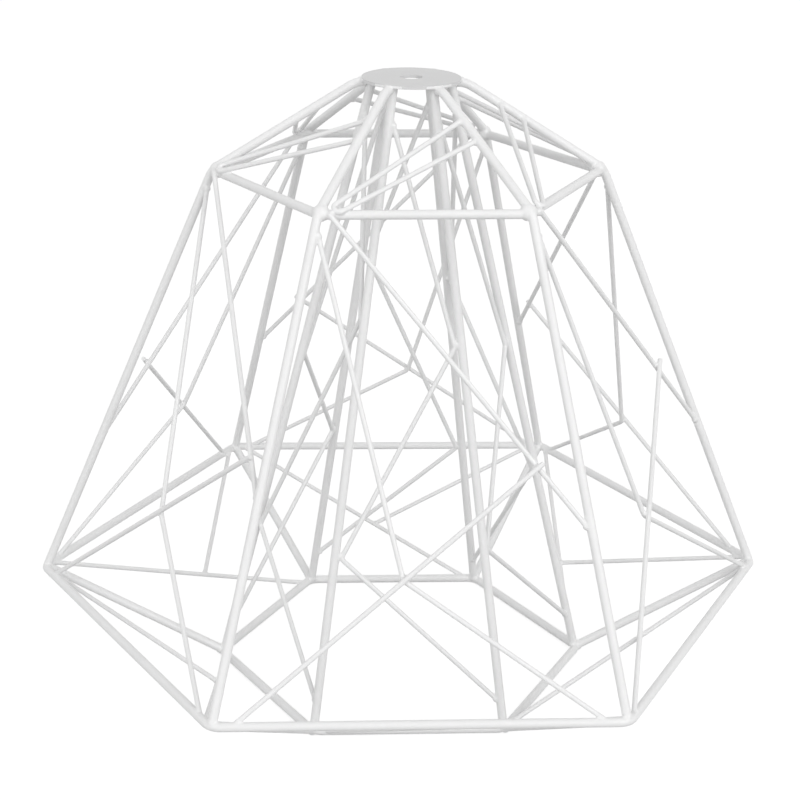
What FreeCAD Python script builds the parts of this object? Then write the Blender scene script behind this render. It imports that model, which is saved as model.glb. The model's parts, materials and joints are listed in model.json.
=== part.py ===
import FreeCAD, Part

import math
import os

import Sketcher

# Wire cage guard for a hanging lamp, in millimetres.
# Three hexagonal rings of thick rod are held apart by bent ribs, lower struts and straight
# inner legs. A round mounting disc closes the top, and thinner brace wires cross every face.
# Origin: middle of the resting plane under the bottom ring. +Z is up, and the face at -Y is the front.

DRIVING_SIZES = [
    ("rod_diameter", "4.2", "thick rod of the rings, ribs, struts and legs, with its coat"),
    ("wire_diameter", "2.3", "thin brace wire, with its coat"),
    ("overall_height", "299", "resting plane to the top face of the mounting disc"),
    ("disc_diameter", "46", "mounting disc, across"),
    ("disc_thickness", "1.5", "mounting disc, sheet thickness"),
    ("nipple_hole", "10.2", "clearance hole for the threaded lamp nipple"),
    ("rib_sink", "0.25", "rib tops below the top face of the disc"),
    ("rib_level", "0.4", "level stretch at the start of each rib, before its upper bend"),
    ("shoulder_radius", "91.8", "centre line of the ribs at the shoulder bend, from the axis"),
    ("crown_height", "43.2", "top face of the disc above the same bend"),
    ("waist_radius", "180", "corners of the waist ring's centre line, from the axis"),
    ("waist_height", "51", "centre line of the waist ring above the resting plane"),
    ("bottom_radius", "92", "corners of the bottom ring's centre line, from the axis"),
    ("shoulder_twist", "1.6", "turn of the shoulder ring and the rib bends about the axis, degrees"),
    ("weld_sink", "1.9", "how deep the shoulder ring is pressed into each rib at its weld"),
    ("weld_slope", "10", "direction from the shoulder ring to the rib at that weld, degrees above level"),
    ("rib_seat", "1.6", "rib ends reach this far in under the disc"),
    ("leg_clearance", "1.3", "free space between each rib end and the leg top beside it"),
    ("ring_bend", "8", "bend radius of the ring corners, centre line"),
    ("rib_bend", "12", "bend radius of the ribs, centre line"),
    ("brace_bend", "2.2", "bend radius of the hairpin and zigzag wires, centre line"),
    ("knee_bend", "5", "bend radius of the knee braces, centre line"),
    ("weld_gap", "0.05", "gap left between round wires that are welded side by side"),
    ("stub_length", "3", "wire that stands past a lapped weld"),
    ("corner_margin", "9", "knee brace: distance of its lower end from the waist ring's corner"),
    ("cross_brace_margin", "10", "cross brace: distance of its foot from the waist ring's corner"),
    ("lower_brace_margin", "5", "lower brace: distance of its three ends from the ring corners"),
    ("long_brace_margin", "4", "long brace: distance of its start from the shoulder ring's corner"),
    ("knee_brace_margin", "5", "knee brace: distance of its start below the shoulder bend of the rib"),
    ("hairpin_margin", "6.5", "hairpin: distance of its bend from the shoulder ring's corner"),
    ("long_brace_share", "0.61", "long brace: how far down the next rib it lands"),
    ("cross_brace_share", "0.8", "cross brace: how far along the long brace its top is welded"),
    ("knee_share", "0.56", "knee brace: how far up the cross brace its knee lies"),
    ("hairpin_high_share", "0.76", "hairpin: how far up the next rib its upper end lands"),
    ("hairpin_low_share", "0.59", "hairpin: how far up the next rib its lower end lands"),
    ("zigzag_start_share", "0.04", "zigzag: start on its first leg, measured down the leg"),
    ("zigzag_first_share", "0.38", "zigzag: first bend, down the second leg"),
    ("zigzag_second_share", "0.7", "zigzag: second bend, down the first leg"),
    ("zigzag_end_share", "0.95", "zigzag: end, down the second leg"),
    ("floor_branch_share", "0.43", "lower brace: where its branch joins it"),
    ("hand_scatter", "1", "how far the six faces differ: 1 as laid by hand, 0 all alike"),
]

# What each face adds to a size, face by face, as every brace is bent and laid by hand.
HAND_LAID = {
    "long_brace_share": (-0.03, 0.02, 0.05, -0.04, 0.02, 0.02),
    "cross_brace_share": (0.07, 0, -0.04, 0.07, -0.01, -0.1),
    "cross_brace_margin": (4, -4, 2, 2, -1, -5),
    "knee_share": (-0.04, -0.01, 0.03, 0.01, 0, -0.01),
    "zigzag_first_share": (-0.02, -0.06, 0.07, -0.03, 0.01, 0.05),
    "zigzag_second_share": (-0.04, 0, -0.04, 0.05, 0.02, 0.01),
    "zigzag_end_share": (0.01, -0.01, 0, 0.01, 0.01, -0.01),
    "floor_branch_share": (-0.05, -0.03, -0.01, 0.02, 0, 0.1),
}

SECTORS = 6
SECTOR_ANGLE = 360.0 / SECTORS
SETTLING_ROUNDS = 12
UP = FreeCAD.Vector(0, 0, 1)

doc = FreeCAD.newDocument("cage_guard")
sheet = doc.addObject("Spreadsheet::Sheet", "Sizes")
for row, (alias, value, meaning) in enumerate(DRIVING_SIZES, start=1):
    sheet.set("A%d" % row, meaning)
    sheet.set("B%d" % row, value)
    sheet.setAlias("B%d" % row, alias)
doc.recompute()


def size(alias):
    """One driving dimension, read back from the sheet."""
    return float(sheet.get(alias))


def laid(alias, face):
    """A driving dimension as it comes out on one face."""
    return size(alias) + size("hand_scatter") * HAND_LAID[alias][face]


# Points of the frame, worked out from the driving dimensions

ROD = size("rod_diameter") / 2
WIRE = size("wire_diameter") / 2
DISC_RADIUS = size("disc_diameter") / 2
DISC_TOP = size("overall_height")
DISC_UNDERSIDE = DISC_TOP - size("disc_thickness")
SHOULDER_HEIGHT = DISC_TOP - size("crown_height")
TWIST = size("shoulder_twist")
LEG_TOP_RADIUS = DISC_RADIUS - size("rib_seat") - size("leg_clearance") - ROD
GAP = size("weld_gap")
PRESSED_RODS = 2 * ROD - size("weld_sink")
WIRE_TO_ROD = WIRE + ROD + GAP
WIRE_TO_WIRE = 2 * WIRE + GAP
END_SETBACK = ROD / 2


def polar(radius, height, azimuth):
    """A point given by its distance from the axis, its height and its azimuth in degrees."""
    angle = math.radians(azimuth)
    return FreeCAD.Vector(radius * math.cos(angle), radius * math.sin(angle), height)


def between(start, end, share):
    """The point that lies the given share of the way from start to end."""
    return start + (end - start) * share


def along(start, end, distance):
    """The point at the given distance from start towards end."""
    return start + unit(end - start) * distance


def unit(vector):
    """The same direction, one long."""
    return vector * (1.0 / vector.Length)


def mitre_inset(radius, turn):
    """How far the middle of a rounded corner lies inside its sharp corner."""
    return radius * (1 / math.cos(math.radians(turn) / 2) - 1)


def rib_crest_radius(start_radius, rise):
    """Distance from the axis to the corner of a rib's upper bend, past the level stretch."""
    arc_radius = start_radius + size("rib_level")
    corner_radius = arc_radius
    for _ in range(SETTLING_ROUNDS):
        slope = math.atan2(rise, size("shoulder_radius") - corner_radius)
        corner_radius = arc_radius + size("rib_bend") * math.tan(slope / 2)
    return corner_radius


class Sector:
    """The corner points of one sixth of the cage, counted anticlockwise from above."""

    def __init__(self, number):
        azimuth = number * SECTOR_ANGLE
        twisted = azimuth + TWIST
        rib_height = DISC_TOP - size("rib_sink") - ROD
        rib_foot = size("waist_radius") - mitre_inset(size("ring_bend"), SECTOR_ANGLE)
        leg_foot = size("bottom_radius") - mitre_inset(size("ring_bend"), SECTOR_ANGLE)
        rib_start = DISC_RADIUS - size("rib_seat")
        rib_crest = rib_crest_radius(rib_start, rib_height - SHOULDER_HEIGHT)
        self.rib_start = polar(rib_start, rib_height, azimuth)
        self.rib_crest = polar(rib_crest, rib_height, azimuth)
        self.shoulder = polar(size("shoulder_radius"), SHOULDER_HEIGHT, twisted)
        self.waist = polar(rib_foot, size("waist_height"), azimuth)
        self.waist_corner = polar(size("waist_radius"), size("waist_height"), azimuth)
        self.bottom = polar(leg_foot, ROD, azimuth)
        self.bottom_corner = polar(size("bottom_radius"), ROD, azimuth)
        self.leg_top = polar(LEG_TOP_RADIUS, DISC_UNDERSIDE, azimuth)


HERE = Sector(0)
NEXT = Sector(1)


def shoulder_ring_place():
    """Corner radius and height of the shoulder ring, pressed into the inner side of the rib bends."""
    rise = HERE.rib_crest.z - HERE.shoulder.z
    upper_run = size("shoulder_radius") - math.hypot(HERE.rib_crest.x, HERE.rib_crest.y)
    fall = HERE.shoulder.z - HERE.waist.z
    lower_run = size("waist_radius") - size("shoulder_radius")
    upper_slope = math.atan2(rise, upper_run)
    lower_slope = math.atan2(fall, lower_run)
    middle_slope = (upper_slope + lower_slope) / 2
    bend_inset = mitre_inset(size("rib_bend"), math.degrees(lower_slope - upper_slope))
    weld_slope = math.radians(size("weld_slope"))
    inset = bend_inset * math.sin(middle_slope) + PRESSED_RODS * math.cos(weld_slope)
    drop = bend_inset * math.cos(middle_slope) + PRESSED_RODS * math.sin(weld_slope)
    radius = size("shoulder_radius") - inset + mitre_inset(size("ring_bend"), SECTOR_ANGLE)
    return radius, SHOULDER_HEIGHT - drop


SHOULDER_RING_RADIUS, SHOULDER_RING_HEIGHT = shoulder_ring_place()


# Bent wire

def rounded_path(corners, bend, closed=False):
    """Straight runs joined by tangent arcs, as one wire."""
    if closed:
        seam = between(corners[-1], corners[0], 0.5)
        corners = [seam] + corners + [seam]
    edges = []
    last = corners[0]
    for before, corner, after in zip(corners, corners[1:], corners[2:]):
        back = unit(before - corner)
        ahead = unit(after - corner)
        half = back.getAngle(ahead) / 2
        reach = bend / math.tan(half)
        middle = corner + unit(back + ahead) * (bend / math.sin(half) - bend)
        start = corner + back * reach
        end = corner + ahead * reach
        edges.append(Part.LineSegment(last, start).toShape())
        edges.append(Part.Arc(start, middle, end).toShape())
        last = end
    edges.append(Part.LineSegment(last, corners[-1]).toShape())
    return Part.Wire(edges)


def corners_round_pins(start, pins, end, bend):
    """Corners of a wire that is led from start round each bending pin to end."""
    corners = list(pins)
    for _ in range(SETTLING_ROUNDS):
        for index, pin in enumerate(pins):
            before = corners[index - 1] if index else start
            after = corners[index + 1] if index + 1 < len(pins) else end
            back = unit(before - corners[index]) if (before - corners[index]).Length else UP
            ahead = unit(after - corners[index])
            half = back.getAngle(ahead) / 2
            corners[index] = pin - unit(back + ahead) * (bend / math.sin(half))
    return [start] + corners + [end]


def bent_piece(name, diameter_alias, corners, bend, closed=False):
    """A round bar swept along a rounded path. Its section is bound to the sheet."""
    spine = doc.addObject("Part::Feature", name + "_path")
    spine.Shape = rounded_path(corners, bend, closed)
    first = spine.Shape.Edges[0]
    section = doc.addObject("Part::Circle", name + "_section")
    section.setExpression("Radius", "Sizes.%s / 2" % diameter_alias)
    direction = first.tangentAt(first.FirstParameter)
    section.Placement = FreeCAD.Placement(first.valueAt(first.FirstParameter),
                                          FreeCAD.Rotation(UP, direction))
    piece = doc.addObject("Part::Sweep", name)
    piece.Sections = [section]
    piece.Spine = (spine, [])
    piece.Solid = True
    piece.Frenet = False
    return piece


def straight_piece(name, diameter_alias, start, end):
    """A straight round bar. Its radius is bound to the sheet."""
    piece = doc.addObject("Part::Cylinder", name)
    piece.setExpression("Radius", "Sizes.%s / 2" % diameter_alias)
    piece.Height = (end - start).Length
    piece.Placement = FreeCAD.Placement(start, FreeCAD.Rotation(UP, end - start))
    return piece


# Sub-parts that go round the cage: each is coped where it is welded to its neighbours

parts = []


def kept(piece, label):
    """Names a finished sub-part and puts it on the list of those to write."""
    piece.Label = label
    parts.append(piece)
    return piece


def turned(number):
    """The placement of a sub-part in the sector with this number."""
    return FreeCAD.Placement(FreeCAD.Vector(), FreeCAD.Rotation(UP, number * SECTOR_ANGLE))


def coped_in_each_sector(label, blanks, neighbours):
    """One bar for each sector, with its ends cut to fit the pieces that it is welded to."""
    tool = doc.addObject("Part::Compound", label + "_neighbours")
    tool.Links = neighbours
    copies = []
    for number, blank in enumerate(blanks):
        piece = doc.addObject("Part::Cut", "%s_%d" % (label, number + 1))
        piece.Base = blank
        piece.Tool = tool
        piece.Placement = turned(number)
        copies.append(kept(piece, piece.Name))
    return copies


def bent_ring(name, radius, height, twist=0):
    """A closed hexagon of thick rod with rounded corners."""
    corners = [polar(radius, height, number * SECTOR_ANGLE + twist) for number in range(SECTORS)]
    return bent_piece(name, "rod_diameter", corners, size("ring_bend"), closed=True)


def pressed_ring(ribs):
    """The shoulder ring, with a notch at each corner where it is pressed into a rib."""
    tool = doc.addObject("Part::Compound", "shoulder_ring_neighbours")
    tool.Links = ribs
    ring = doc.addObject("Part::Cut", "shoulder_ring")
    ring.Base = bent_ring("shoulder_ring_blank", SHOULDER_RING_RADIUS, SHOULDER_RING_HEIGHT, TWIST)
    ring.Tool = tool
    return kept(ring, "shoulder_ring")


def mounting_disc():
    """The round plate at the top: a padded circle with the nipple hole through it."""
    body = doc.addObject("PartDesign::Body", "mounting_disc")
    level = next(item for item in body.Origin.OriginFeatures if item.Role == "XY_Plane")
    outline = body.newObject("Sketcher::SketchObject", "disc_outline")
    outline.AttachmentSupport = [(level, "")]
    outline.MapMode = "FlatFace"
    outline.addGeometry(Part.Circle(FreeCAD.Vector(), UP, DISC_RADIUS), False)
    outline.addGeometry(Part.Circle(FreeCAD.Vector(), UP, size("nipple_hole") / 2), False)
    for index, alias in enumerate(("disc_diameter", "nipple_hole")):
        outline.addConstraint(Sketcher.Constraint("Coincident", index, 3, -1, 1))
        dimension = outline.addConstraint(Sketcher.Constraint("Diameter", index, size(alias)))
        outline.setExpression("Constraints[%d]" % dimension, "Sizes.%s" % alias)
    pad = body.newObject("PartDesign::Pad", "disc_pad")
    pad.Profile = outline
    pad.setExpression("Length", "Sizes.disc_thickness")
    body.Tip = pad
    body.setExpression("Placement.Base.z", "Sizes.overall_height - Sizes.disc_thickness")
    return kept(body, "mounting_disc")


def share_along_leg(sector, share):
    """A point on the centre line of a leg, counted from the disc down."""
    return between(sector.leg_top, sector.bottom, share)


def bending_pin(sector, other, share):
    """Centre of a zigzag bend that touches the side of one leg that faces the other."""
    point = share_along_leg(sector, share)
    leg = unit(sector.bottom - sector.leg_top)
    across = share_along_leg(other, share) - point
    across = unit(across - leg * across.dot(leg))
    return point + across * (size("brace_bend") + WIRE_TO_ROD)


def face_normal(low_here, low_next, high_next):
    """The outward normal of the flat face through three of its corners."""
    return unit((low_next - low_here).cross(high_next - low_next))


UPPER_NORMAL = face_normal(HERE.shoulder, NEXT.shoulder, NEXT.rib_crest)
SIDE_NORMAL = face_normal(HERE.waist_corner, NEXT.waist_corner, NEXT.shoulder)


def on_shoulder_ring(distance):
    """A point on the centre line of the shoulder ring, so far from its corner."""
    corner = polar(SHOULDER_RING_RADIUS, SHOULDER_RING_HEIGHT, TWIST)
    following = polar(SHOULDER_RING_RADIUS, SHOULDER_RING_HEIGHT, TWIST + SECTOR_ANGLE)
    return along(corner, following, distance)


# Points where the brace wires of one side face meet

LONG_BRACE_SEAT = on_shoulder_ring(size("long_brace_margin")) + SIDE_NORMAL * WIRE_TO_ROD


def long_brace_end(face):
    """Where the long brace of a face lands on the next rib."""
    return between(NEXT.shoulder, NEXT.waist, laid("long_brace_share", face))


def cross_brace_foot(face):
    """The point of the waist ring's centre line that the cross brace of a face runs down to."""
    return along(HERE.waist_corner, NEXT.waist_corner, laid("cross_brace_margin", face))


def cross_brace_head(face):
    """The middle of the cross brace of a face where it is lapped over the long brace."""
    crossing = between(LONG_BRACE_SEAT, long_brace_end(face), laid("cross_brace_share", face))
    return crossing + SIDE_NORMAL * WIRE_TO_WIRE


def knee(face):
    """The corner of the knee brace of a face, close behind its cross brace."""
    crossing = between(cross_brace_foot(face), cross_brace_head(face), laid("knee_share", face))
    return crossing - SIDE_NORMAL * WIRE_TO_WIRE


def rib_blank():
    """Bent rod from the disc rim over the shoulder to the waist ring."""
    end = along(HERE.waist, HERE.shoulder, END_SETBACK)
    corners = [HERE.rib_start, HERE.rib_crest, HERE.shoulder, end]
    return bent_piece("rib_blank", "rod_diameter", corners, size("rib_bend"))


def strut_blank():
    """Straight rod from the waist ring down and in to the bottom ring."""
    start = along(HERE.waist, HERE.bottom, END_SETBACK)
    end = along(HERE.bottom, HERE.waist, END_SETBACK)
    return straight_piece("strut_blank", "rod_diameter", start, end)


def leg_blank():
    """Straight rod from the underside of the disc down to the bottom ring."""
    start = along(HERE.leg_top, HERE.bottom, -2 * ROD)
    end = along(HERE.bottom, HERE.leg_top, END_SETBACK)
    return straight_piece("leg_blank", "rod_diameter", start, end)


def hairpin_blank():
    """Hairpin that sits on the shoulder ring and spreads to two points of the next rib."""
    seat = on_shoulder_ring(size("hairpin_margin")) + UPPER_NORMAL * WIRE_TO_ROD
    high_end = between(NEXT.shoulder, NEXT.rib_crest, size("hairpin_high_share"))
    low_end = between(NEXT.shoulder, NEXT.rib_crest, size("hairpin_low_share"))
    ahead = unit(between(high_end, low_end, 0.5) - seat)
    upward = unit(UPPER_NORMAL.cross(ahead)) * size("brace_bend")
    corners = [high_end, seat + upward, seat - upward, low_end]
    return bent_piece("hairpin_blank", "wire_diameter", corners, size("brace_bend"))


def long_brace_blank(face):
    """Straight wire from the shoulder ring across the face to the next rib."""
    return straight_piece("long_brace_blank", "wire_diameter", LONG_BRACE_SEAT, long_brace_end(face))


def cross_brace_blank(face):
    """Straight wire from the waist ring up and over the knee brace and the long brace."""
    foot = cross_brace_foot(face)
    head = cross_brace_head(face)
    return straight_piece("cross_brace_blank", "wire_diameter", foot, along(head, foot, -size("stub_length")))


def knee_brace_blank(face):
    """Wire from the rib to its knee behind the cross brace, and on to the far end of the waist edge."""
    start = along(HERE.shoulder, HERE.waist, size("knee_brace_margin"))
    end = along(NEXT.waist_corner, HERE.waist_corner, size("corner_margin"))
    return bent_piece("knee_brace_blank", "wire_diameter", [start, knee(face), end], size("knee_bend"))


def zigzag_blank(face):
    """Wire that runs down between two legs and bends at each of them."""
    start = share_along_leg(HERE, size("zigzag_start_share"))
    end = share_along_leg(NEXT, laid("zigzag_end_share", face))
    pins = [bending_pin(NEXT, HERE, laid("zigzag_first_share", face)),
            bending_pin(HERE, NEXT, laid("zigzag_second_share", face))]
    corners = corners_round_pins(start, pins, end, size("brace_bend"))
    return bent_piece("zigzag_blank", "wire_diameter", corners, size("brace_bend"))


def lower_brace_blank(face):
    """Wire across the lower face with a short branch welded to it, as one piece."""
    margin = size("lower_brace_margin")
    foot = along(HERE.bottom_corner, NEXT.bottom_corner, margin)
    head = along(NEXT.waist_corner, HERE.waist_corner, margin)
    stem = straight_piece("lower_stem", "wire_diameter", foot, head)
    joint = between(foot, head, laid("floor_branch_share", face))
    root = along(HERE.waist_corner, NEXT.waist_corner, margin)
    branch = straight_piece("lower_branch", "wire_diameter", root, along(joint, root, WIRE / 2))
    fused = doc.addObject("Part::Fuse", "lower_brace_blank")
    fused.Base = stem
    fused.Tool = branch
    return fused


def room_above_legs():
    """The space that the tops of the legs are cut back to: everything above the disc's underside."""
    room = doc.addObject("Part::Cylinder", "room_above_legs")
    room.setExpression("Radius", "Sizes.disc_diameter")
    room.setExpression("Height", "Sizes.disc_diameter")
    room.setExpression("Placement.Base.z", "Sizes.overall_height - Sizes.disc_thickness")
    return room


def alike(blank):
    """The same bar for every sector."""
    return [blank] * SECTORS


def for_each_face(blank_of):
    """A bar of its own for every sector."""
    return [blank_of(face) for face in range(SECTORS)]


def build():
    """Makes every sub-part, each one coped to those made before it."""
    disc = mounting_disc()
    waist_ring = kept(bent_ring("waist_ring", size("waist_radius"), size("waist_height")), "waist_ring")
    bottom_ring = kept(bent_ring("bottom_ring", size("bottom_radius"), ROD), "bottom_ring")
    ribs = coped_in_each_sector("outer_rib", alike(rib_blank()), [disc, waist_ring])
    shoulder_ring = pressed_ring(ribs)
    legs = coped_in_each_sector("inner_leg", alike(leg_blank()), [room_above_legs(), bottom_ring])
    coped_in_each_sector("lower_strut", alike(strut_blank()), [waist_ring, bottom_ring, ribs[0], legs[0]])
    coped_in_each_sector("hairpin_brace", alike(hairpin_blank()), [ribs[1], shoulder_ring])
    coped_in_each_sector("long_brace", for_each_face(long_brace_blank), [ribs[1]])
    coped_in_each_sector("knee_brace", for_each_face(knee_brace_blank), [ribs[0], shoulder_ring, waist_ring])
    coped_in_each_sector("cross_brace", for_each_face(cross_brace_blank), [waist_ring])
    coped_in_each_sector("zigzag_brace", for_each_face(zigzag_blank), [legs[0], legs[1]])
    coped_in_each_sector("lower_brace", for_each_face(lower_brace_blank), [bottom_ring, waist_ring])


def check_and_write():
    """Stops on any failed object, then writes each sub-part to its own file."""
    doc.recompute()
    for item in doc.Objects:
        if "Invalid" in item.State or "Error" in item.State:
            raise RuntimeError("failed object: " + item.Name)
    for piece in parts:
        if piece.Shape.isNull() or not piece.Shape.isValid() or len(piece.Shape.Solids) != 1:
            raise RuntimeError("sub-part without one sound solid: " + piece.Label)
    os.makedirs("parts", exist_ok=True)
    for piece in parts:
        piece.Shape.exportStep("parts/%s.step" % piece.Label)
    print("sub-parts written:", len(parts))


build()
check_and_write()
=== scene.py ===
"""The looks of a white wire cage guard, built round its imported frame.

The rods, wires and disc are the frame's own pieces, dressed here in satin powder coat. The weld metal that joins
them is modelled here: at every joint the pieces that meet are melted into one smooth lump under the same coat.
"""
from __future__ import annotations

import json
import logging
import math
from dataclasses import dataclass, field
from enum import Enum

import bmesh
import bpy
from mathutils import Matrix, Vector, noise
from mathutils.bvhtree import BVHTree


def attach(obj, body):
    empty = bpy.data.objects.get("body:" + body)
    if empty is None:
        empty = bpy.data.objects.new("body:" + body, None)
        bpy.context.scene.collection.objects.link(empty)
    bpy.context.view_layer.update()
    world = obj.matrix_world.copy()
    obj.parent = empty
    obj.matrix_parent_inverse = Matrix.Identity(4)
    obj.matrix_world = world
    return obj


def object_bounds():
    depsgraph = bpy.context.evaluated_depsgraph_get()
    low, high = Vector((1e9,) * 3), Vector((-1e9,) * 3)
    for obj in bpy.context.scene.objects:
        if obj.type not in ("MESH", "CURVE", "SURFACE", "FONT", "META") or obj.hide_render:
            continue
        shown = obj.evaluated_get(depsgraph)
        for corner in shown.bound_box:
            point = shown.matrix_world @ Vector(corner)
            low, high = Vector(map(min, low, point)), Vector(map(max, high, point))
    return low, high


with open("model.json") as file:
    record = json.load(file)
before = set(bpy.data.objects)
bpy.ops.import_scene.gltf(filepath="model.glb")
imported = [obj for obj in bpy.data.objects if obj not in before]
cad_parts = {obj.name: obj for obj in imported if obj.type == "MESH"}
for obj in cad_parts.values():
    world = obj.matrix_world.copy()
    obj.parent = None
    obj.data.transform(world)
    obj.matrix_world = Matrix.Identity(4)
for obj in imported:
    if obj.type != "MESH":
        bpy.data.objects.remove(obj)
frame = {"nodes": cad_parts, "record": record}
CAD_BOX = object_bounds()
LOG = logging.getLogger("cage_guard")

MM = 0.001
SECTORS = 6


def linear(hex_colour: str) -> tuple[float, float, float, float]:
    """Turns an sRGB hex colour into linear light.

    Args:
        hex_colour: Six hex digits, such as "f2f2f0".

    Returns:
        Red, green, blue and an alpha of one.
    """
    channels = [int(hex_colour[place:place + 2], 16) / 255 for place in (0, 2, 4)]
    red, green, blue = (c / 12.92 if c <= 0.04045 else ((c + 0.055) / 1.055) ** 2.4 for c in channels)
    return red, green, blue, 1.0


def add_node(tree: bpy.types.NodeTree, kind: str, settings: dict | None = None,
             inputs: dict | None = None) -> bpy.types.Node:
    """Adds a shader node.

    Args:
        tree: The node tree that it goes into.
        kind: The node's type, such as "ShaderNodeTexNoise".
        settings: Attributes to set on it.
        inputs: Socket name to a value, or to the output socket that feeds it.

    Returns:
        The new node.
    """
    node = tree.nodes.new(kind)
    for name, value in (settings or {}).items():
        setattr(node, name, value)
    for name, value in (inputs or {}).items():
        if isinstance(value, bpy.types.NodeSocket):
            tree.links.new(value, node.inputs[name])
        else:
            node.inputs[name].default_value = value
    return node


@dataclass(frozen=True)
class PowderCoat:
    """Satin polyester powder coat, sprayed dry and baked on steel.

    The melted powder levels out into a soft sheen with faint orange peel. It lies thickest, whitest and smoothest
    over a weld, a little thinner along a drawn wire, whose fine die lines it fills, and thinnest on sheet. The
    sheet's coat is also given a darker grey, which is painted shade for the disc's flat top that the lamps light less.

    Attributes:
        name: The material's name, which says what the coat lies on.
        body: Colour where the coat is at its thickest.
        thin: Colour where it is at its thinnest.
        roughness: Mean roughness of the sheen.
        roughness_spread: How far the roughness strays from that, one way and the other.
        sheen_ior: Index of refraction of the cured polyester.
        peel_mm: Width of the dimples of the orange peel.
        peel_depth_mm: Depth of those dimples.
        grain_mm: Width of the powder's own grain.
        grain_depth_mm: Depth of that grain.
        cloud_mm: Size of the patches in which the coat is thicker or thinner.
    """

    name: str
    body: str = "f6f6f6"
    thin: str = "f0f0f0"
    roughness: float = 0.36
    roughness_spread: float = 0.08
    sheen_ior: float = 1.5
    peel_mm: float = 2.4
    peel_depth_mm: float = 0.02
    grain_mm: float = 0.35
    grain_depth_mm: float = 0.003
    cloud_mm: float = 26.0

    def build(self) -> bpy.types.Material:
        """Makes the node material.

        Returns:
            A material whose colour, gloss and bump all vary with the place on the object.
        """
        material = bpy.data.materials.new(self.name)
        material.use_nodes = True
        tree = material.node_tree
        tree.nodes.clear()
        place = add_node(tree, "ShaderNodeTexCoord").outputs["Object"]
        cloud = self._noise(tree, place, self.cloud_mm, detail=3.0)
        peel = self._noise(tree, place, self.peel_mm, detail=1.0)
        grain = self._noise(tree, place, self.grain_mm, detail=0.0)
        colour = add_node(tree, "ShaderNodeMix", {"data_type": "RGBA"}, {"Factor": cloud})
        colour.inputs["A"].default_value = linear(self.thin)
        colour.inputs["B"].default_value = linear(self.body)
        gloss = add_node(tree, "ShaderNodeMapRange", None, {
            "Value": cloud,
            "To Min": self.roughness + self.roughness_spread,
            "To Max": self.roughness - self.roughness_spread,
        })
        dimples = add_node(tree, "ShaderNodeBump", None, {
            "Height": peel, "Strength": 1.0, "Distance": self.peel_depth_mm * MM,
        })
        texture = add_node(tree, "ShaderNodeBump", None, {
            "Height": grain, "Strength": 1.0, "Distance": self.grain_depth_mm * MM,
            "Normal": dimples.outputs["Normal"],
        })
        shader = add_node(tree, "ShaderNodeBsdfPrincipled", None, {
            "Base Color": colour.outputs["Result"],
            "Roughness": gloss.outputs["Result"],
            "IOR": self.sheen_ior,
            "Normal": texture.outputs["Normal"],
        })
        add_node(tree, "ShaderNodeOutputMaterial", None, {"Surface": shader.outputs["BSDF"]})
        return material

    @staticmethod
    def _noise(tree: bpy.types.NodeTree, place: bpy.types.NodeSocket, size_mm: float,
               detail: float) -> bpy.types.NodeSocket:
        """Adds noise whose features are about the given size.

        Args:
            tree: The material's node tree.
            place: The socket that gives the place on the object.
            size_mm: Size of one feature.
            detail: How many finer octaves are laid over it.

        Returns:
            The socket that carries the noise.
        """
        texture = add_node(tree, "ShaderNodeTexNoise", None, {
            "Vector": place, "Scale": 1 / (size_mm * MM), "Detail": detail, "Roughness": 0.5,
        })
        return texture.outputs["Fac"]


class Finish(Enum):
    """The coats on the cage, each named for what it covers."""

    ROD = PowderCoat("powder_coat_on_rod")
    WIRE = PowderCoat("powder_coat_on_wire", peel_mm=1.8, peel_depth_mm=0.012)
    # The sheet's darker grey is painted shade: the disc's upward face catches less of the frontal lamps than the rods
    # do.
    DISC = PowderCoat("powder_coat_on_sheet_with_painted_shade", body="dcdcdc", thin="d8d8d8", peel_mm=3.0, peel_depth_mm=0.015)
    WELD = PowderCoat("powder_coat_over_weld", body="f8f8f8", roughness=0.32, peel_mm=3.2, peel_depth_mm=0.03)


COATS = {finish: finish.value.build() for finish in Finish}
NODE_FINISHES = {"rod_coat": Finish.ROD, "wire_coat": Finish.WIRE, "disc_coat": Finish.DISC}


@dataclass
class FrameDress:
    """The frame's own pieces in their coats."""

    slots: dict[str, str] = field(default_factory=dict)

    def __post_init__(self) -> None:
        """Reads the material slot of every node from the record."""
        self.slots = {part["node"]: part["material_slot"] for part in frame["record"]["subparts"]}

    def dress(self) -> int:
        """Gives every node its coat.

        Returns:
            How many nodes were dressed.
        """
        for name, piece in frame["nodes"].items():
            coat = COATS[NODE_FINISHES[self.slots[name]]]
            piece.data.materials.clear()
            piece.data.materials.append(coat)
        return len(frame["nodes"])


@dataclass(frozen=True)
class Member:
    """A sub-part that takes part in a joint.

    Attributes:
        kind: The sub-part's name without its number.
        ahead: How many sectors further on it is, or None for a ring or the disc, of which there is one.
    """

    kind: str
    ahead: int | None = 0

    def node(self, sector: int) -> str:
        """The frame's name for it.

        Args:
            sector: The sector that it is seen from, from 1 on.

        Returns:
            A node's name.
        """
        if self.ahead is None:
            return self.kind
        return f"{self.kind}_{(sector - 1 + self.ahead) % SECTORS + 1}"


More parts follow.
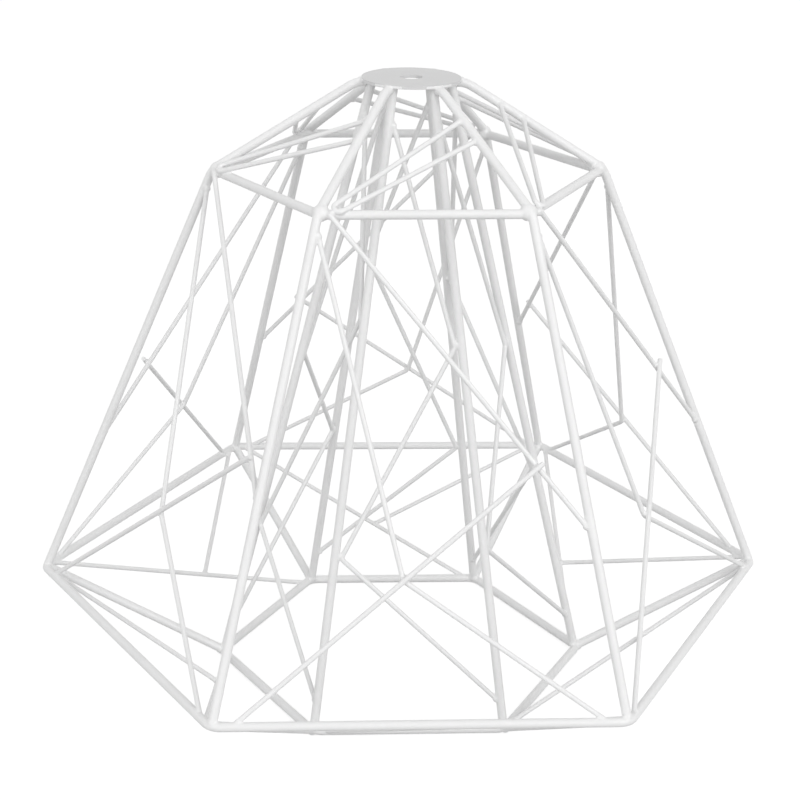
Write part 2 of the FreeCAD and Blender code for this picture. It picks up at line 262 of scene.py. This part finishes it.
class SeamFinder:
    """Finds the places where two nodes of the frame meet."""

    def __init__(self, spacing_mm: float = 0.7, near_mm: float = 0.6, apart_mm: float = 9.0,
                 same_mm: float = 0.001) -> None:
        """Sets the search distances.

        Args:
            spacing_mm: Distance between the points that stand for a surface.
            near_mm: Surfaces this near to each other meet.
            apart_mm: Meeting points further apart than this belong to different seams.
            same_mm: Corners of loose triangles this near to each other are one.
        """
        self.spacing = spacing_mm * MM
        self.near = near_mm * MM
        self.apart = apart_mm * MM
        self.same = same_mm * MM
        self._merged: dict[str, bmesh.types.BMesh] = {}
        self._trees: dict[str, BVHTree] = {}
        self._found: dict[tuple[str, str], list[Vector]] = {}

    def merged(self, name: str) -> bmesh.types.BMesh:
        """A copy of a node's mesh whose triangles hang together, kept for the next search.

        Args:
            name: The node's name.

        Returns:
            The copy, which the caller leaves as it is.
        """
        if name not in self._merged:
            shape = bmesh.new()
            shape.from_mesh(frame["nodes"][name].data)
            bmesh.ops.remove_doubles(shape, verts=shape.verts, dist=self.same)
            self._merged[name] = shape
        return self._merged[name]

    def seams(self, first: str, second: str) -> list[Vector]:
        """Finds the seams between two nodes.

        A node that is paired with itself is one that branches, and its seam is the joint of its branch.

        Args:
            first: The node whose mesh is followed.
            second: The node that it meets.

        Returns:
            The middle of each seam, in the order in which the first node's mesh comes to them.
        """
        if first == second:
            return [self._branch_joint(first)]
        if (first, second) not in self._found:
            groups: list[list[Vector]] = []
            for middle in self._meeting_points(first, second):
                group = next((g for g in groups if (g[0] - middle).length < self.apart), None)
                if group is None:
                    groups.append([middle])
                else:
                    group.append(middle)
            self._found[first, second] = [sum(group, Vector()) / len(group) for group in groups]
        return self._found[first, second]

    def _tree(self, name: str) -> BVHTree:
        """The search tree of a node's mesh, kept for the next search.

        Args:
            name: The node's name.

        Returns:
            The tree.
        """
        if name not in self._trees:
            self._trees[name] = BVHTree.FromBMesh(self.merged(name))
        return self._trees[name]

    def _branch_joint(self, name: str) -> Vector:
        """Finds the joint inside a branching wire, where its mesh has its only corners away from the rings.

        Args:
            name: The branching wire's node.

        Returns:
            The middle of the joint.
        """
        rings = [self._tree(ring) for ring in ("waist_ring", "bottom_ring")]
        corners = [vertex.co for vertex in self.merged(name).verts
                   if all(ring.find_nearest(vertex.co, self.apart)[0] is None for ring in rings)]
        return sum(corners, Vector()) / len(corners)

    def _meeting_points(self, first: str, second: str) -> list[Vector]:
        """Follows the edges of one node and notes where the other is near.

        Args:
            first: The node whose edges are followed.
            second: The node that is looked for.

        Returns:
            Points half-way between the two surfaces.
        """
        tree = self._tree(second)
        middles = []
        for edge in self.merged(first).edges:
            start, end = (vertex.co for vertex in edge.verts)
            steps = max(1, math.ceil((end - start).length / self.spacing))
            for step in range(steps):
                point = start.lerp(end, step / steps)
                found = tree.find_nearest(point, self.near)[0]
                if found is not None:
                    middles.append(point.lerp(found, 0.5))
        return middles


@dataclass(frozen=True)
class WeldKind:
    """One kind of welded joint, found in every sector.

    Attributes:
        seams: Pairs of members that meet there. The first pair gives the joint its place.
        bead_mm: Radius of the bead on each seam.
        reach_mm: How far the coat is drawn along the members from the joint.
        cell_mm: Size of the cells in which the members are melted together.
    """

    seams: tuple[tuple[Member, Member], ...]
    bead_mm: tuple[float, ...]
    reach_mm: float
    cell_mm: float


@dataclass
class WeldedJoints:
    """All welds of one group, as one piece.

    The members near a joint are copied from the frame, melted together with beads of weld metal, and smoothed.
    The skin follows the members exactly where there is no bead, and dips under their surface at its ends.

    Attributes:
        name: The piece's name.
        kinds: The joints in it.
        finder: Where the members meet.
        slot: The record's material slot for it. Not used.
        smooth_rounds: How many times the skin is smoothed.
        smooth_share: How far a point moves towards its neighbours in one round.
        bead_rounds: How often a bead's faces are split before it is melted in.
        skin_mm: How far the coat stands above the members.
        dip_mm: How far its ends lie under them.
        dip_share: Share of the reach at which it begins to dip.
        lump_mm: Height of the lumps on a bead.
        lump_size_mm: Width of the lumps.
        cut_mm: A point this near to a cut lies on it.
        inside_mm: Least distance between the skin and the box of the bare frame.
    """

    name: str
    kinds: tuple[WeldKind, ...]
    finder: SeamFinder
    slot: str = "rod_coat"
    smooth_rounds: int = 7
    smooth_share: float = 0.5
    bead_rounds: int = 3
    skin_mm: float = 0.03
    dip_mm: float = 0.25
    dip_share: float = 0.8
    lump_mm: float = 0.22
    lump_size_mm: float = 2.6
    cut_mm: float = 0.0001
    inside_mm: float = 0.02

    def build(self) -> bpy.types.Object:
        """Makes the welds of every sector.

        Returns:
            The finished piece, in its coat.
        """
        joined = bmesh.new()
        for kind in self.kinds:
            for sector in range(1, SECTORS + 1):
                first, second = (member.node(sector) for member in kind.seams[0])
                for centre in self.finder.seams(first, second):
                    self._melt(joined, kind, sector, centre)
        mesh = bpy.data.meshes.new(self.name)
        joined.to_mesh(mesh)
        joined.free()
        mesh.shade_smooth()
        piece = bpy.data.objects.new(self.name, mesh)
        bpy.context.scene.collection.objects.link(piece)
        mesh.materials.append(COATS[Finish.WELD])
        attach(piece, "root")
        return piece

    def _melt(self, joined: bmesh.types.BMesh, kind: WeldKind, sector: int, centre: Vector) -> None:
        """Melts the members of one joint together.

        Args:
            joined: The mesh that the result is added to.
            kind: The kind of joint.
            sector: The sector that it is in.
            centre: The middle of its first seam.
        """
        reach = kind.reach_mm * MM
        members = bmesh.new()
        for name in sorted({member.node(sector) for pair in kind.seams for member in pair}):
            self._add_clipped(members, name, centre, reach)
        surface = BVHTree.FromBMesh(members)
        melted = self._remeshed(members, kind, sector, centre)
        for _ in range(self.smooth_rounds):
            bmesh.ops.smooth_vert(melted, verts=melted.verts, factor=self.smooth_share,
                                  use_axis_x=True, use_axis_y=True, use_axis_z=True)
        self._fit_skin(melted, surface, centre, reach)
        part = bpy.data.meshes.new("weld")
        melted.to_mesh(part)
        melted.free()
        joined.from_mesh(part)
        bpy.data.meshes.remove(part)

    def _add_clipped(self, members: bmesh.types.BMesh, name: str, centre: Vector, reach: float) -> None:
        """Adds the stretch of a node that lies in a cube round the joint, closed at its cut ends.

        Args:
            members: The mesh that it is added to.
            name: The node's name.
            centre: The middle of the cube.
            reach: Half the cube's width, in metres.
        """
        shape = self.finder.merged(name).copy()
        for axis in range(3):
            for side in (-1, 1):
                normal = Vector((0, 0, 0))
                normal[axis] = side
                cut = bmesh.ops.bisect_plane(
                    shape, geom=shape.verts[:] + shape.edges[:] + shape.faces[:], dist=self.cut_mm * MM,
                    plane_co=centre + normal * reach, plane_no=normal, clear_outer=True)
                rim = [item for item in cut["geom_cut"] if isinstance(item, bmesh.types.BMEdge)]
                if rim:
                    bmesh.ops.edgeloop_fill(shape, edges=rim)
        mesh = bpy.data.meshes.new("clipped")
        shape.to_mesh(mesh)
        shape.free()
        members.from_mesh(mesh)
        bpy.data.meshes.remove(mesh)

    def _remeshed(self, members: bmesh.types.BMesh, kind: WeldKind, sector: int,
                  centre: Vector) -> bmesh.types.BMesh:
        """Lays one skin of small even faces round the members and their beads.

        Args:
            members: The members of the joint, which are used up.
            kind: The kind of joint.
            sector: The sector that it is in.
            centre: The middle of its first seam.

        Returns:
            The skin.
        """
        reach = kind.reach_mm * MM
        for pair, radius in zip(kind.seams, kind.bead_mm):
            first, second = (member.node(sector) for member in pair)
            for seam in self.finder.seams(first, second):
                if (seam - centre).length < reach - radius * MM:
                    self._add_bead(members, seam, radius * MM)
        mesh = bpy.data.meshes.new("melt")
        members.to_mesh(mesh)
        members.free()
        holder = bpy.data.objects.new("melt", mesh)
        bpy.context.scene.collection.objects.link(holder)
        remesh = holder.modifiers.new("melt", "REMESH")
        remesh.mode = "VOXEL"
        remesh.voxel_size = kind.cell_mm * MM
        depsgraph = bpy.context.evaluated_depsgraph_get()
        melted = bmesh.new()
        melted.from_object(holder, depsgraph)
        bpy.data.objects.remove(holder)
        bpy.data.meshes.remove(mesh)
        return melted

    def _add_bead(self, members: bmesh.types.BMesh, seam: Vector, radius: float) -> None:
        """Adds a lumpy drop of weld metal.

        Args:
            members: The mesh that it is added to.
            seam: The middle of the seam that it fills.
            radius: Its radius in metres.
        """
        drop = bmesh.ops.create_icosphere(members, subdivisions=self.bead_rounds, radius=radius,
                                          matrix=Matrix.Translation(seam))
        for vertex in drop["verts"]:
            outward = (vertex.co - seam).normalized()
            lump = noise.noise(vertex.co / (self.lump_size_mm * MM))
            vertex.co += outward * lump * self.lump_mm * MM

    def _fit_skin(self, melted: bmesh.types.BMesh, surface: BVHTree, centre: Vector, reach: float) -> None:
        """Lays the skin on the members, and under them near its ends.

        Args:
            melted: The skin.
            surface: Search tree of the members.
            centre: The middle of the joint.
            reach: How far the skin is drawn along the members, in metres.
        """
        margin = Vector((self.inside_mm * MM,) * 3)
        low, high = CAD_BOX[0] + margin, CAD_BOX[1] - margin
        for vertex in melted.verts:
            offset = vertex.co - centre
            spread = max(abs(offset.x), abs(offset.y), abs(offset.z)) / reach
            ease = min(1.0, max(0.0, (spread - self.dip_share) / (1.0 - self.dip_share)))
            height = (self.skin_mm - (self.skin_mm + self.dip_mm) * ease * ease * (3 - 2 * ease)) * MM
            place, normal, _, _ = surface.find_nearest(vertex.co)
            above = (vertex.co - place).dot(normal)
            if above < height:
                vertex.co += normal * (height - above)
            elif ease > 0:
                vertex.co -= normal * (above - height) * ease
            vertex.co = Vector(min(max(value, least), most)
                               for value, least, most in zip(vertex.co, low, high))


# The members as a sector sees them. NEXT and LAST are those of the sectors on either side of it.
RIB = Member("outer_rib")
NEXT_RIB = Member("outer_rib", 1)
LEG = Member("inner_leg")
NEXT_LEG = Member("inner_leg", 1)
STRUT = Member("lower_strut")
HAIRPIN = Member("hairpin_brace")
LONG_BRACE = Member("long_brace")
CROSS_BRACE = Member("cross_brace")
KNEE_BRACE = Member("knee_brace")
LAST_KNEE_BRACE = Member("knee_brace", -1)
ZIGZAG = Member("zigzag_brace")
LOWER_BRACE = Member("lower_brace")
LAST_LOWER_BRACE = Member("lower_brace", -1)
SHOULDER_RING = Member("shoulder_ring", None)
WAIST_RING = Member("waist_ring", None)
BOTTOM_RING = Member("bottom_ring", None)
DISC = Member("mounting_disc", None)

# A ring's corner takes a long reach, because the ends of several wires lie beside it. Thin wires take small cells.
SHOULDER_CORNER = WeldKind(
    seams=((RIB, SHOULDER_RING), (HAIRPIN, SHOULDER_RING), (LONG_BRACE, SHOULDER_RING), (KNEE_BRACE, RIB)),
    bead_mm=(3.9, 1.9, 2.0, 1.9), reach_mm=13.0, cell_mm=0.4)
WAIST_CORNER = WeldKind(
    seams=((RIB, WAIST_RING), (STRUT, WAIST_RING), (CROSS_BRACE, WAIST_RING), (LAST_KNEE_BRACE, WAIST_RING),
           (LOWER_BRACE, WAIST_RING), (LAST_LOWER_BRACE, WAIST_RING)),
    bead_mm=(2.4, 2.4, 1.5, 1.5, 1.5, 1.5), reach_mm=14.0, cell_mm=0.4)
BOTTOM_CORNER = WeldKind(
    seams=((LEG, BOTTOM_RING), (STRUT, BOTTOM_RING), (LOWER_BRACE, BOTTOM_RING)),
    bead_mm=(2.5, 2.5, 1.5), reach_mm=13.0, cell_mm=0.4)
DISC_RIM = WeldKind(seams=((RIB, DISC), (LEG, DISC)), bead_mm=(2.0, 2.3), reach_mm=7.0, cell_mm=0.35)
HAIRPIN_END = WeldKind(seams=((HAIRPIN, NEXT_RIB),), bead_mm=(1.7,), reach_mm=6.0, cell_mm=0.34)
LONG_BRACE_END = WeldKind(seams=((LONG_BRACE, NEXT_RIB),), bead_mm=(1.7,), reach_mm=6.0, cell_mm=0.34)
CROSSING = WeldKind(seams=((CROSS_BRACE, LONG_BRACE),), bead_mm=(1.45,), reach_mm=5.0, cell_mm=0.31)
KNEE_CROSSING = WeldKind(seams=((KNEE_BRACE, CROSS_BRACE),), bead_mm=(1.45,), reach_mm=5.0, cell_mm=0.31)
ZIGZAG_START = WeldKind(seams=((ZIGZAG, LEG),), bead_mm=(1.7,), reach_mm=6.0, cell_mm=0.34)
ZIGZAG_END = WeldKind(seams=((ZIGZAG, NEXT_LEG),), bead_mm=(1.7,), reach_mm=6.0, cell_mm=0.34)
BRANCH_JOINT = WeldKind(seams=((LOWER_BRACE, LOWER_BRACE),), bead_mm=(1.6,), reach_mm=5.0, cell_mm=0.31)
WELD_GROUPS = {
    "shoulder_welds": (SHOULDER_CORNER,),
    "waist_welds": (WAIST_CORNER,),
    "bottom_welds": (BOTTOM_CORNER,),
    "disc_welds": (DISC_RIM,),
    "side_brace_welds": (HAIRPIN_END, LONG_BRACE_END, CROSSING, KNEE_CROSSING),
    "leg_brace_welds": (ZIGZAG_START, ZIGZAG_END, BRANCH_JOINT),
}


@dataclass(frozen=True)
class Camera:
    """The view of the photograph, as fitted to the corners of the rings.

    Attributes:
        azimuth: How far the camera is turned about the cage, from straight in front.
        elevation: How far it looks down.
        roll: How far the picture is tilted.
        distance: From the point that it aims at, in metres.
        aim_aside: How far that point lies beside the axis, in metres.
        aim_up: Its height over the floor, in metres.
        focal_pixels: Focal length in pixels of the picture.
        picture_pixels: Width of the picture.
        sensor_mm: Width of the sensor.
        near_clip: Nearest distance that is drawn, in metres.
    """

    azimuth: float = math.radians(3.40)
    elevation: float = math.radians(21.06)
    roll: float = math.radians(-1.07)
    distance: float = 0.9346
    aim_aside: float = -0.00248
    aim_up: float = 0.13051
    focal_pixels: float = 1801.3
    picture_pixels: float = 800.0
    sensor_mm: float = 36.0
    near_clip: float = 0.01

    def place(self) -> bpy.types.Object:
        """Makes the camera and puts it where the photograph was taken from.

        Returns:
            The camera object.
        """
        data = bpy.data.cameras.new("camera")
        data.sensor_width = self.sensor_mm
        data.lens = self.focal_pixels / self.picture_pixels * self.sensor_mm
        data.clip_start = self.near_clip
        camera = bpy.data.objects.new("camera", data)
        bpy.context.scene.collection.objects.link(camera)
        turn = Matrix.Rotation(-self.azimuth, 3, "Z")
        aside = Vector((1, 0, 0))
        ahead = Vector((0, math.cos(self.elevation), -math.sin(self.elevation)))
        up = Vector((0, math.sin(self.elevation), math.cos(self.elevation)))
        right = aside * math.cos(self.roll) - up * math.sin(self.roll)
        top = aside * math.sin(self.roll) + up * math.cos(self.roll)
        centre = aside * self.aim_aside + up * self.aim_up - ahead * self.distance
        axes = Matrix((turn @ right, turn @ top, turn @ -ahead)).transposed()
        camera.matrix_world = Matrix.Translation(turn @ centre) @ axes.to_4x4()
        bpy.context.scene.camera = camera
        return camera


@dataclass(frozen=True)
class SoftLight:
    """One large lamp with a soft edge.

    Attributes:
        name: What the lamp does.
        place: Where it hangs, in metres.
        size: Width and height of its face, in metres.
        power: Its power in watts.
    """

    name: str
    place: tuple[float, float, float]
    size: tuple[float, float]
    power: float

    def hang(self, target: Vector) -> bpy.types.Object:
        """Makes the lamp and points it at the target.

        Args:
            target: The point that it shines on.

        Returns:
            The lamp object.
        """
        data = bpy.data.lights.new(self.name, "AREA")
        data.shape = "RECTANGLE"
        data.size, data.size_y = self.size
        data.energy = self.power
        lamp = bpy.data.objects.new(self.name, data)
        lamp.location = self.place
        lamp.rotation_euler = (target - Vector(self.place)).to_track_quat("-Z", "Y").to_euler()
        bpy.context.scene.collection.objects.link(lamp)
        return lamp


@dataclass
class Studio:
    """A floor of pale paper in a white room, under soft lamps.

    Attributes:
        paper_colour: The floor's own colour, which throws light back at the cage.
        paper_glow: What is added to the floor where it is seen, so that it shows white with a faint shadow.
        floor_size: Width and length of the floor, in metres.
        surround: How strongly the white walls light the cage from all sides.
        ceiling: How bright the ceiling is beside the walls.
        ceiling_starts: Upward slope of the view at which wall gives way to ceiling.
        lights: The lamps.
    """

    paper_colour: str = "a6a6a6"
    paper_glow: float = 0.77
    floor_size: float = 12.0
    surround: float = 0.89
    ceiling: float = 0.45
    ceiling_starts: float = 0.3
    lights: tuple[SoftLight, ...] = (
        SoftLight("key_softbox", (1.2, -2.0, 1.3), (1.6, 1.6), 20.0),
        SoftLight("fill_softbox", (-1.4, -1.9, 1.0), (1.6, 1.6), 10.0),
    )

    def build(self, middle: Vector) -> None:
        """Sets up floor, world and lamps.

        Args:
            middle: The point that every lamp is aimed at.
        """
        self._lay_floor()
        self._light_world()
        for light in self.lights:
            light.hang(middle)

    @staticmethod
    def _seen_directly(tree: bpy.types.NodeTree) -> bpy.types.NodeSocket:
        """Tells the rays that show a surface, itself or mirrored, from those that only light.

        Args:
            tree: The node tree of the floor or the world.

        Returns:
            A socket that is one for the first and nought for the others.
        """
        path = add_node(tree, "ShaderNodeLightPath")
        seen = path.outputs["Is Camera Ray"]
        for kind in ("Is Glossy Ray", "Is Transmission Ray"):
            either = add_node(tree, "ShaderNodeMath", {"operation": "MAXIMUM"})
            tree.links.new(seen, either.inputs[0])
            tree.links.new(path.outputs[kind], either.inputs[1])
            seen = either.outputs["Value"]
        return seen

    def _lay_floor(self) -> None:
        """Lays a floor that is white to the camera and still takes the object's shadow."""
        mesh = bpy.data.meshes.new("floor")
        shape = bmesh.new()
        bmesh.ops.create_grid(shape, x_segments=1, y_segments=1, size=self.floor_size / 2)
        shape.to_mesh(mesh)
        shape.free()
        floor = bpy.data.objects.new("floor", mesh)
        bpy.context.scene.collection.objects.link(floor)
        material = bpy.data.materials.new("backdrop_paper")
        material.use_nodes = True
        tree = material.node_tree
        tree.nodes.clear()
        paper = add_node(tree, "ShaderNodeBsdfDiffuse", None, {"Color": linear(self.paper_colour)})
        strength = add_node(tree, "ShaderNodeMapRange", None, {
            "Value": self._seen_directly(tree), "To Min": 0.0, "To Max": self.paper_glow,
        })
        glow = add_node(tree, "ShaderNodeEmission", None, {"Strength": strength.outputs["Result"]})
        both = add_node(tree, "ShaderNodeAddShader")
        tree.links.new(paper.outputs["BSDF"], both.inputs[0])
        tree.links.new(glow.outputs["Emission"], both.inputs[1])
        add_node(tree, "ShaderNodeOutputMaterial", None, {"Surface": both.outputs["Shader"]})
        mesh.materials.append(material)

    def _light_world(self) -> None:
        """Surrounds the scene with soft light, dimmer overhead, that the camera sees as plain white."""
        world = bpy.data.worlds.new("studio")
        bpy.context.scene.world = world
        world.use_nodes = True
        tree = world.node_tree
        tree.nodes.clear()
        upward = add_node(tree, "ShaderNodeSeparateXYZ", None, {
            "Vector": add_node(tree, "ShaderNodeTexCoord").outputs["Generated"],
        })
        room = add_node(tree, "ShaderNodeMapRange", {"interpolation_type": "SMOOTHSTEP"}, {
            "Value": upward.outputs["Z"], "From Min": self.ceiling_starts, "From Max": 1.0,
            "To Min": self.surround, "To Max": self.surround * self.ceiling,
        })
        strength = add_node(tree, "ShaderNodeMapRange", None, {
            "Value": self._seen_directly(tree), "To Min": room.outputs["Result"], "To Max": 1.0,
        })
        glow = add_node(tree, "ShaderNodeBackground", None, {
            "Color": linear("ffffff"), "Strength": strength.outputs["Result"],
        })
        add_node(tree, "ShaderNodeOutputWorld", None, {"Surface": glow.outputs["Background"]})


def main() -> None:
    """Dresses the cage, welds it and sets it in the studio."""
    logging.basicConfig(level=logging.INFO, format="%(name)s: %(message)s")
    scene = bpy.context.scene
    scene.view_settings.view_transform = "Standard"
    camera = Camera().place()
    LOG.info("camera stands at %s", tuple(round(c, 3) for c in camera.location))
    LOG.info("dressed %d nodes", FrameDress().dress())
    finder = SeamFinder()
    for name, kinds in WELD_GROUPS.items():
        welds = WeldedJoints(name, kinds, finder).build()
        LOG.info("%s: %d faces", name, len(welds.data.polygons))
    low, high = CAD_BOX
    Studio().build((low + high) / 2)


if __name__ == "__main__":
    main()
